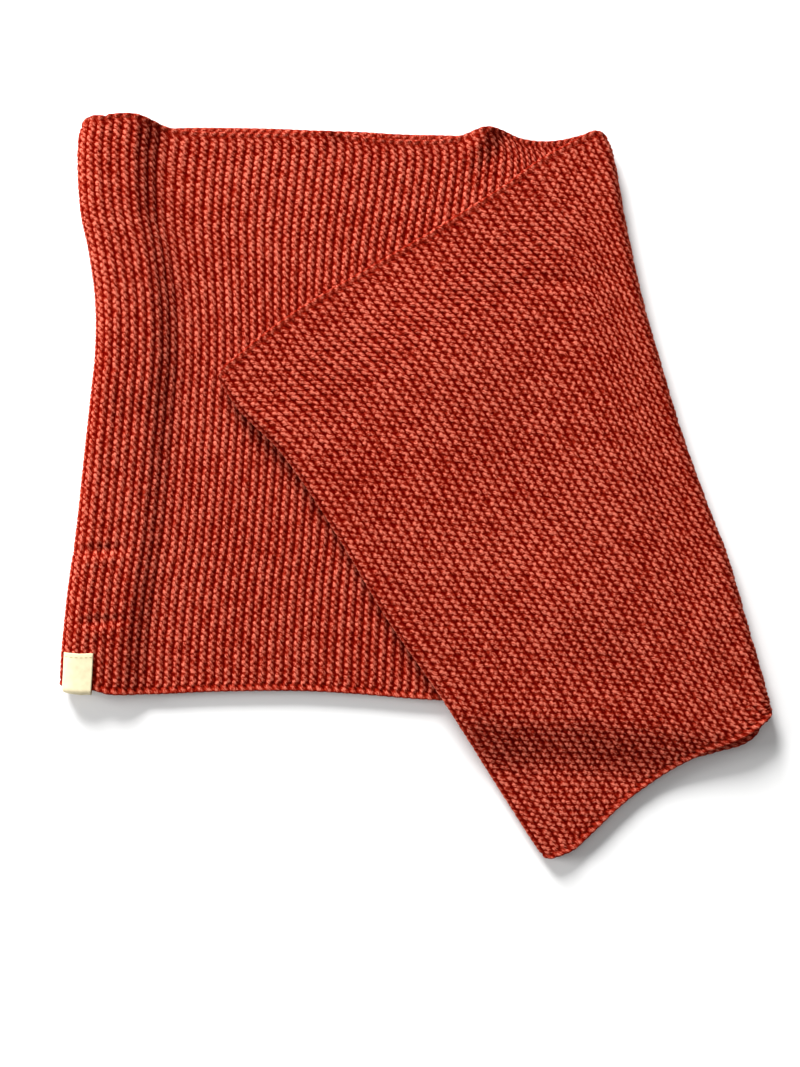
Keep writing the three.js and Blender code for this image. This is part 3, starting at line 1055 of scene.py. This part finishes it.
        core = half - BAND.edge_bulge
        angle = np.where(rim, share * 2, np.sign(share)) * self.rim_angle
        rim_edge = core - half * np.cos(self.rim_angle)
        inwards = edge + rim_edge * (1 - ease(edge / self.edge_blend))
        lift = np.sqrt(np.maximum(half**2 - np.maximum(core - inwards, 0.0) ** 2, 0.0))
        lift = np.sign(share) * lift
        bead = 1 - 0.3 * (1 - height)
        inwards = np.where(rim, core - half * bead * np.cos(angle), inwards)
        lift = np.where(rim, half * bead * np.sin(angle), lift)
        lift = np.where(outer & ~rim, lift - gauge.depth * (1 - height), lift)
        placed = np.where(distance < BAND.width / 2, inwards, BAND.width - inwards)

        across = placed / BAND.width
        travel = self.form.travel_of(fabric, across)
        points, normals = self.form.at(travel, across)
        lift = lift + swell_height(self.creases, points[:, :2]) * (share > -0.49)
        return points + normals * lift[:, None], height

    @staticmethod
    def _add_uv(mesh: bpy.types.Mesh, stitches: Array) -> None:
        """Gives the mesh its stitches as a flat map, one unit to a stitch each way."""
        corners = np.empty(len(mesh.loops), int)
        mesh.loops.foreach_get("vertex_index", corners)
        layer = mesh.uv_layers.new(name="stitches")
        layer.data.foreach_set("uv", stitches[corners].astype(np.float32).ravel())


# The tape

@dataclass
class EdgeTape:
    """The cotton tape folded over the lower long edge near the left end."""

    form: LowerFrontForm
    width: float = 17.0
    front: float = 22.0
    back: float = 14.0
    from_end: float = 4.4
    thickness: float = 0.5
    clear: float = 0.3
    pitch: float = 0.6
    edge_steps: int = 12
    stitch_rows: int = 6
    stitch_length: float = 1.9
    stitch_thick: float = 0.42
    stitch_inset: float = 2.4

    @property
    def away(self) -> float:
        """From the middle of the cloth to the middle of the tape."""
        return (BAND.cloth + self.thickness) / 2 + self.clear

    @property
    def wrap(self) -> float:
        """The tape's length round the cloth's edge."""
        return math.pi * self.away + 2 * (BAND.edge_bulge - 0.4)

    @property
    def length(self) -> float:
        """The tape's whole length."""
        return self.front + self.wrap + self.back

    def place(self, along: Array, down: Array, lift: Array) -> Array:
        """Where the tape's points lie.

        Args:
            along: Distances across the tape, from its left edge.
            down: Distances down it, from its front top edge.
            lift: Distances out from its middle.

        Returns:
            The points in millimetres.
        """
        travel = self.from_end + along
        turn = np.clip((down - self.front) / self.wrap, 0, 1)
        angle = math.pi * (0.5 - turn)
        past = np.maximum(down - self.front - self.wrap, 0)
        from_edge = np.where(turn < 1, np.maximum(self.front - down, 0), past)
        points, normals = self.form.at(travel, 1 - from_edge / BAND.width)
        inner, _ = self.form.at(travel, 1 - (from_edge + 2) / BAND.width)
        outwards = unit(points - inner)
        reach = self.away + lift
        bulge = reach + BAND.edge_bulge
        return (
            points + outwards * (bulge * np.cos(angle))[:, None]
            + normals * (reach * np.sin(angle))[:, None]
        )

    def build(self) -> bpy.types.Object:
        """Cuts the tape flat, thickens it, and folds it over the edge."""
        bm = bmesh.new()
        columns, rows = round(self.width / self.pitch), round(self.length / self.pitch)
        bmesh.ops.create_grid(bm, x_segments=columns, y_segments=rows, size=0.5)
        bmesh.ops.scale(bm, vec=(self.width, self.length, 1.0), verts=bm.verts)
        bmesh.ops.translate(bm, vec=(self.width / 2, self.length / 2, 0.0), verts=bm.verts)
        lifted = bmesh.ops.extrude_face_region(
            bm, geom=bm.faces[:] + bm.edges[:] + bm.verts[:], use_keep_orig=True
        )
        upper = [part for part in lifted["geom"] if isinstance(part, bmesh.types.BMVert)]
        bmesh.ops.translate(bm, vec=(0.0, 0.0, self.thickness), verts=upper)
        bmesh.ops.recalc_face_normals(bm, faces=bm.faces)
        mesh = bpy.data.meshes.new("knit_edge_tape")
        bm.to_mesh(mesh)
        bm.free()
        flat = np.empty(len(mesh.vertices) * 3)
        mesh.vertices.foreach_get("co", flat)
        along, down, depth = flat.reshape(-1, 3).T
        laid = self.place(along, down, depth - self.thickness / 2)
        mesh.vertices.foreach_set("co", (laid * MM).ravel())
        corners = np.empty(len(mesh.loops), int)
        mesh.loops.foreach_get("vertex_index", corners)
        layer = mesh.uv_layers.new(name="threads")
        threads = np.stack([along, down], -1)[corners]
        layer.data.foreach_set("uv", threads.astype(np.float32).ravel())
        mesh.shade_smooth()
        piece = bpy.data.objects.new("edge_tape", mesh)
        bpy.context.scene.collection.objects.link(piece)
        return piece

    def build_stitches(self) -> bpy.types.Object:
        """The short row of sewing just below the tape's front top edge."""
        bm = bmesh.new()
        pitch = self.width / self.stitch_rows
        for number in range(self.stitch_rows):
            bead = bmesh.ops.create_uvsphere(bm, u_segments=10, v_segments=7, radius=0.5)
            size = (self.stitch_length, self.stitch_thick, self.stitch_thick)
            bmesh.ops.scale(bm, vec=size, verts=bead["verts"])
            middle = (pitch * (number + 0.5), self.stitch_inset, 0.0)
            bmesh.ops.translate(bm, vec=middle, verts=bead["verts"])
        mesh = bpy.data.meshes.new("tape_sewing")
        bm.loops.layers.uv.new("threads")
        bm.to_mesh(mesh)
        bm.free()
        flat = np.empty(len(mesh.vertices) * 3)
        mesh.vertices.foreach_get("co", flat)
        along, down, depth = flat.reshape(-1, 3).T
        laid = self.place(along, down, depth + self.thickness / 2)
        mesh.vertices.foreach_set("co", (laid * MM).ravel())
        mesh.shade_smooth()
        piece = bpy.data.objects.new("tape_sewing", mesh)
        bpy.context.scene.collection.objects.link(piece)
        return piece


# Finishes

class NodeChain:
    """Short calls for a material's nodes."""

    def __init__(self, name: str) -> None:
        """Starts a material with its shader.

        Args:
            name: The material's name.
        """
        self.material = bpy.data.materials.new(name)
        self.material.use_nodes = True
        self.nodes = self.material.node_tree.nodes
        self.links = self.material.node_tree.links
        self.shader = self.nodes["Principled BSDF"]

    def add(self, kind: str, **settings: object) -> bpy.types.Node:
        """A node with its own settings."""
        node = self.nodes.new(kind)
        for name, value in settings.items():
            setattr(node, name, value)
        return node

    def link(self, source: bpy.types.NodeSocket, target: bpy.types.NodeSocket) -> None:
        """Joins one socket to another."""
        self.links.new(source, target)

    def math(self, operation: str, *values: object) -> bpy.types.NodeSocket:
        """A sum of sockets or numbers.

        Args:
            operation: The sum's name.
            values: Its sockets or numbers in order.

        Returns:
            The result's socket.
        """
        node = self.add("ShaderNodeMath", operation=operation)
        for socket, value in zip(node.inputs, values):
            if isinstance(value, bpy.types.NodeSocket):
                self.link(value, socket)
            else:
                socket.default_value = value
        return node.outputs[0]

    def ramp(self, source: bpy.types.NodeSocket, stops: Sequence[tuple]) -> bpy.types.NodeSocket:
        """A colour ramp.

        Args:
            source: What it reads, from 0 to 1.
            stops: Each stop's place and colour.

        Returns:
            The colour's socket.
        """
        node = self.add("ShaderNodeValToRGB")
        ramp = node.color_ramp
        while len(ramp.elements) < len(stops):
            ramp.elements.new(0.5)
        for element, (place, colour) in zip(ramp.elements, stops):
            element.position = place
            element.color = (*colour, 1.0)
        self.link(source, node.inputs["Fac"])
        return node.outputs["Color"]

    def wrapped(self, value: bpy.types.NodeSocket, pitch: float) -> bpy.types.NodeSocket:
        """The distance from the nearest whole number, times a pitch."""
        share = self.math("FRACT", self.math("ADD", value, 0.5))
        return self.math("MULTIPLY", self.math("SUBTRACT", share, 0.5), pitch)

    def bump(self, height: bpy.types.NodeSocket, strength: float, distance: float) -> None:
        """Gives the shader a fine relief."""
        bump = self.add("ShaderNodeBump")
        bump.inputs["Strength"].default_value = strength
        bump.inputs["Distance"].default_value = distance
        self.link(height, bump.inputs["Height"])
        self.link(bump.outputs["Normal"], self.shader.inputs["Normal"])

    def noise(self, where: bpy.types.NodeSocket, scale: float, detail: float = 2.0):
        """A noise value at a scale, read at a place."""
        node = self.add("ShaderNodeTexNoise")
        node.inputs["Scale"].default_value = scale
        node.inputs["Detail"].default_value = detail
        self.link(where, node.inputs["Vector"])
        return node.outputs["Fac"]


@dataclass(frozen=True)
class YarnFinish:
    """Matt cotton yarn with painted shade in the grooves and painted highlight on the stitches'
    tops, a little uneven, with its plies showing.
    """

    # The first colour is painted shade in the grooves, the middle one the yarn's red, and the
    # last painted highlight on the stitches' tops.
    groove_shade: tuple = (0.112, 0.0008, 0.0001)
    middle: tuple = (0.275, 0.0175, 0.0070)
    crown: tuple = (0.62, 0.144, 0.092)
    roughness: float = 0.9
    specular: float = 0.0
    ply_lean: float = -30.0
    ply_size: tuple = (0.15, 0.42, 1.0)
    fine_share: float = 0.45
    ply_share: float = 2.1
    tone_share: float = 0.16
    patch_share: float = 0.2
    bump: float = 0.45

    def make(self) -> bpy.types.Material:
        """Makes the material."""
        chain = NodeChain("yarn")
        gauge = Gauge()
        uv = chain.add("ShaderNodeUVMap", uv_map="stitches").outputs["UV"]
        place = chain.add("ShaderNodeTexCoord").outputs["Object"]
        height, tone, plain = (
            chain.add("ShaderNodeAttribute", attribute_name=name).outputs["Fac"]
            for name in ("stitch_height", "stitch_tone", "plain_knit")
        )
        fine = chain.math("MULTIPLY", self._loops(chain, uv, gauge), plain)
        plies = self._plies(chain, uv)
        patches = chain.noise(place, 14.0, 3.0)
        fibres = chain.noise(place, 900.0, 3.0)

        share = chain.math("MULTIPLY", plain, self.fine_share)
        level = chain.math("ADD", height, chain.math(
            "MULTIPLY", share, chain.math("SUBTRACT", fine, height)))
        for value, weight in (
            (plies, self.ply_share), (tone, self.tone_share), (patches, self.patch_share)
        ):
            level = chain.math("ADD", level, chain.math(
                "MULTIPLY", chain.math("SUBTRACT", value, 0.5), weight))
        # The ramp paints shade and highlight by the stitches' height: darkest in the grooves,
        # lightest on the tops. The plies' streaks are partly their own tone and partly painted
        # highlight. Each stitch's tone and the broad patches are the yarn's own unevenness.
        colour = chain.ramp(level, (
            (0.12, self.groove_shade), (0.60, self.middle), (1.0, self.crown),
        ))
        chain.link(colour, chain.shader.inputs["Base Color"])
        chain.shader.inputs["Roughness"].default_value = self.roughness
        chain.shader.inputs["Specular IOR Level"].default_value = self.specular
        rough = chain.math("ADD", chain.math("MULTIPLY", plies, 0.7), chain.math(
            "MULTIPLY", fibres, 0.3))
        rough = chain.math("ADD", rough, fine)
        chain.bump(rough, self.bump, 0.0006)
        return chain.material

    def _loops(
        self, chain: NodeChain, uv: bpy.types.NodeSocket, gauge: Gauge
    ) -> bpy.types.NodeSocket:
        """The stitches' heads and legs, read from the flat map.

        Args:
            chain: The material's nodes.
            uv: The flat map.
            gauge: The knitting's sizes.

        Returns:
            Their height, from 0 to 1.
        """
        apart = chain.add("ShaderNodeSeparateXYZ")
        chain.link(uv, apart.inputs["Vector"])
        u = chain.wrapped(apart.outputs["X"], gauge.ridge)
        return chain.math("MAXIMUM", *(
            self._loop(chain, loop, u, apart.outputs["Y"], gauge.stitch)
            for loop in (HEAD, LEG)
        ))

    @staticmethod
    def _loop(
        chain: NodeChain, loop: Loop, u: bpy.types.NodeSocket, b: bpy.types.NodeSocket,
        pitch: float,
    ) -> bpy.types.NodeSocket:
        """One oval of each stitch, round on top.

        Args:
            chain: The material's nodes.
            loop: The oval.
            u: Distances along from the ridge's crest, in millimetres.
            b: Distances across, in stitches.
            pitch: The stitch's width.

        Returns:
            Its height, from 0 to 1.
        """
        lean = math.radians(loop.lean)
        du = chain.math("SUBTRACT", u, loop.along)
        dv = chain.wrapped(chain.math("SUBTRACT", b, loop.across / pitch), pitch)
        length = chain.math("ADD", chain.math("MULTIPLY", dv, math.cos(lean)), chain.math(
            "MULTIPLY", du, math.sin(lean)))
        width = chain.math("SUBTRACT", chain.math("MULTIPLY", du, math.cos(lean)), chain.math(
            "MULTIPLY", dv, math.sin(lean)))
        square = chain.math("ADD", *(
            chain.math("POWER", chain.math("ABSOLUTE", chain.math("DIVIDE", part, half)), 2.0)
            for part, half in ((length, loop.half_length), (width, loop.half_width))
        ))
        inside = chain.math("MAXIMUM", chain.math("SUBTRACT", 1.0, square), 0.0)
        return chain.math("POWER", inside, 0.45)

    def _plies(self, chain: NodeChain, uv: bpy.types.NodeSocket) -> bpy.types.NodeSocket:
        """The yarn's twisted plies, as streaks along its legs; in the colour they are partly the
        plies' own tone and partly painted highlight.
        """
        turned = chain.add("ShaderNodeMapping", vector_type="TEXTURE")
        turned.inputs["Rotation"].default_value = (0.0, 0.0, math.radians(self.ply_lean))
        turned.inputs["Scale"].default_value = self.ply_size
        chain.link(uv, turned.inputs["Vector"])
        return chain.noise(turned.outputs["Vector"], 1.0, 3.0)


@dataclass(frozen=True)
class TapeFinish:
    """Cream cotton tape in a fine plain weave, or its sewing thread."""

    name: str = "tape"
    light: tuple = (0.86, 0.76, 0.50)
    dark: tuple = (0.62, 0.52, 0.31)
    thread: float = 0.45
    roughness: float = 0.8

    def make(self) -> bpy.types.Material:
        """Makes the material."""
        chain = NodeChain(self.name)
        uv = chain.add("ShaderNodeUVMap", uv_map="threads")
        apart = chain.add("ShaderNodeSeparateXYZ")
        chain.link(uv.outputs["UV"], apart.inputs["Vector"])
        turn = 2 * math.pi / (2 * self.thread)
        warp = chain.math("SINE", chain.math("MULTIPLY", apart.outputs["X"], turn))
        weft = chain.math("SINE", chain.math("MULTIPLY", apart.outputs["Y"], turn))
        weave = chain.math("ADD", chain.math("MULTIPLY", chain.math(
            "MULTIPLY", warp, weft), 0.5), 0.5)
        place = chain.add("ShaderNodeTexCoord")
        slubs = chain.noise(place.outputs["Object"], 260.0, 3.0)
        level = chain.math("ADD", chain.math("MULTIPLY", weave, 0.45), chain.math(
            "MULTIPLY", slubs, 0.6))
        colour = chain.ramp(level, ((0.2, self.dark), (0.75, self.light)))
        chain.link(colour, chain.shader.inputs["Base Color"])
        chain.shader.inputs["Roughness"].default_value = self.roughness
        chain.shader.inputs["Sheen Weight"].default_value = 0.15
        chain.shader.inputs["Specular IOR Level"].default_value = 0.3
        chain.bump(weave, 0.3, 0.0002)
        return chain.material


@dataclass(frozen=True)
class FloorFinish:
    """A plain pale matt surface."""

    colour: tuple = (0.95, 0.95, 0.945)

    def make(self) -> bpy.types.Material:
        """Makes the material."""
        chain = NodeChain("floor")
        chain.shader.inputs["Base Color"].default_value = (*self.colour, 1.0)
        chain.shader.inputs["Roughness"].default_value = 0.9
        chain.shader.inputs["Specular IOR Level"].default_value = 0.1
        return chain.material


# The studio

@dataclass(frozen=True)
class Lamp:
    """An area light, in metres and watts."""

    name: str
    place: tuple
    size: float
    power: float


@dataclass(frozen=True)
class Studio:
    """The floor, the lights and the camera straight above."""

    floor: float = 6.0
    camera_place: tuple = (-0.0091, -0.0282, 1.107)
    lens: float = 61.3
    sky: float = 0.25
    lamps: tuple = (
        Lamp("upper", (-0.98, 2.55, 1.28), 1.2, 204.0),
        Lamp("left", (-2.3, 0.2, 0.85), 1.0, 46.0),
        Lamp("overhead", (-0.3, 0.3, 1.9), 1.0, 3.5),
    )

    def build(self) -> None:
        """Makes the floor, the lights and the camera."""
        self._floor()
        self._sky()
        for lamp in self.lamps:
            self._light(lamp)
        data = bpy.data.cameras.new("camera")
        data.lens = self.lens
        camera = bpy.data.objects.new("camera", data)
        camera.location = self.camera_place
        bpy.context.scene.collection.objects.link(camera)
        bpy.context.scene.camera = camera

    def _floor(self) -> None:
        """The plain floor that the scarf lies on."""
        bm = bmesh.new()
        bmesh.ops.create_grid(bm, x_segments=1, y_segments=1, size=self.floor / 2)
        mesh = bpy.data.meshes.new("floor")
        bm.to_mesh(mesh)
        bm.free()
        floor = bpy.data.objects.new("floor", mesh)
        mesh.materials.append(FloorFinish().make())
        bpy.context.scene.collection.objects.link(floor)

    def _sky(self) -> None:
        """An even pale light from all round."""
        world = bpy.data.worlds.new("sky")
        world.use_nodes = True
        background = world.node_tree.nodes["Background"]
        background.inputs["Color"].default_value = (1.0, 1.0, 1.0, 1.0)
        background.inputs["Strength"].default_value = self.sky
        bpy.context.scene.world = world
        bpy.context.scene.view_settings.view_transform = "Standard"

    @staticmethod
    def _light(lamp: Lamp) -> None:
        """A soft square light that faces the scarf."""
        data = bpy.data.lights.new(lamp.name, "AREA")
        data.size = lamp.size
        data.energy = lamp.power
        light = bpy.data.objects.new(lamp.name, data)
        place = np.array(lamp.place)
        light.location = lamp.place
        tilt = math.acos(place[2] / np.linalg.norm(place))
        light.rotation_euler = (tilt, 0.0, math.atan2(place[0], -place[1]))
        bpy.context.scene.collection.objects.link(light)


# The scarf

class Scarf:
    """All the pieces, and what each one stands for."""

    EDGE_STRIP = 11.0
    COVERED = 8.0

    def __init__(self) -> None:
        """Works out the forms and the panels."""
        self.plan = Plan()
        front = LowerFrontForm(self.plan)
        self.panels = (
            KnitPanel(
                "knit_lower_back", "lower_back", LowerBackForm(self.plan),
                self._edges_shown, gauge=Gauge(depth=1.0),
            ),
            KnitPanel(
                "knit_lower_front", "lower_front", front, self._front_shown,
                creases=LOWER_CREASES,
            ),
            KnitPanel(
                "knit_turned_inside", "turned_inside", TurnedInsideForm(self.plan),
                self._edges_shown, gauge=Gauge(depth=1.0),
            ),
            KnitPanel(
                "knit_turned_outside", "turned_outside", TurnedOutsideForm(self.plan),
                self._outside_shown, creases=TURNED_CREASES,
            ),
        )
        self.tape = EdgeTape(front)

    def _edges_shown(self, points: Array, travel: Array, across: Array) -> Array:
        """A hidden layer shows along its long edges only."""
        strip = self.EDGE_STRIP / BAND.width
        return (across < strip) | (across > 1 - strip)

    def _front_shown(self, points: Array, travel: Array, across: Array) -> Array:
        """The lower front layer shows outside the turned stretch."""
        corners = [
            outline.at(np.array([0.0, 1.0]))
            for outline in (self.plan.turned_upper, self.plan.right_end)
        ]
        hidden = np.ones(len(points), bool)
        for first, last in corners:
            ahead = unit(last - first)
            right = np.array([ahead[1], -ahead[0]])
            inside = (points[:, :2] - first) @ right
            hidden &= (inside if right[0] > 0 else inside) < -self.COVERED
        edge = self._edges_shown(points, travel, across) & (across > 0.5)
        seen = ~hidden & (travel > -9.0)
        return seen | (edge & (travel > -9.0))

    def _outside_shown(self, points: Array, travel: Array, across: Array) -> Array:
        """The turned stretch's outside layer shows but for its undersides."""
        end = np.interp(across, (0, 1), (1, 1)) * 0
        under = self.panels[3].form.end_at(across) - travel < 6.5 + end
        return (travel > -6.0) & ~under

    def build(self) -> None:
        """Builds each piece, gives it its finish, hangs it on the root and hides the frame's
        part that it replaces.
        """
        yarn = YarnFinish().make()
        for panel in self.panels:
            piece = panel.build()
            piece.data.materials.append(yarn)
            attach(piece, "root")
            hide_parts(panel.node)
            panel.flat_size()
            panel.flat_area()
        tape, sewing = self.tape.build(), self.tape.build_stitches()
        thread = TapeFinish("thread", light=(0.52, 0.41, 0.22), dark=(0.36, 0.27, 0.13))
        for piece, finish in ((tape, TapeFinish()), (sewing, thread)):
            piece.data.materials.append(finish.make())
            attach(piece, "root")
        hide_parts("edge_tab")


def main() -> None:
    """Loads the frame and builds the studio and the scarf."""
    logging.basicConfig(level=logging.INFO)
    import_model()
    Studio().build()
    Scarf().build()
    bpy.context.view_layer.update()


if __name__ == "__main__":
    main()
